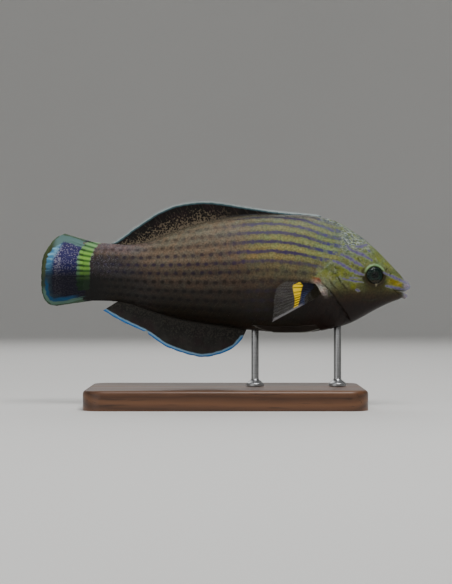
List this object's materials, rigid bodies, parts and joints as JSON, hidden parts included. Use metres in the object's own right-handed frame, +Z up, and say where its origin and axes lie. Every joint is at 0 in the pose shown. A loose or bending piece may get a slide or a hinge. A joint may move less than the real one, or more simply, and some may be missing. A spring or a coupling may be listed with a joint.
{
  "type": "dusky wrasse",
  "caption": "Life-size model of a deep-bodied reef wrasse with a dotted, line-marked body and blue-edged fins, swimming level on a plain display stand.",
  "frame": {"origin": "centre of the underside of the whole part's box, on the surface that the stand rests on", "axes": "+X from the tail towards the snout, +Y towards the fish's left side, +Z up"},
  "size_m": [0.1505, 0.07, 0.0834],
  "materials": {
    "body_skin": "wet scales, olive brown with rows of dark violet dots",
    "head_skin": "wet skin, yellow green with blue violet lines",
    "dark_fins": "near black membrane with tan dots and a bright blue edge",
    "tail_fin": "green bar at the root, violet blue, yellow green rear edge",
    "clear_fins": "thin greyish membrane over pale rays",
    "eyes": "wet, dark green",
    "stand_wood": "dark stained, satin",
    "stand_steel": "satin"
  },
  "bodies": {
    "root": {"torso": "body_skin", "tail_stem": "body_skin", "head": "head_skin", "lower_jaw": "head_skin", "gill_cover_left": "head_skin", "gill_cover_right": "head_skin", "dorsal_fin": "dark_fins", "anal_fin": "dark_fins", "caudal_fin": "tail_fin", "pectoral_fin_left": "clear_fins", "pectoral_fin_right": "clear_fins", "pelvic_fin_left": "clear_fins", "pelvic_fin_right": "clear_fins", "eye_left": "eyes", "eye_right": "eyes", "stand_base": "stand_wood", "stand_rod_front": "stand_steel", "stand_rod_rear": "stand_steel"}
  },
  "joints": []
}
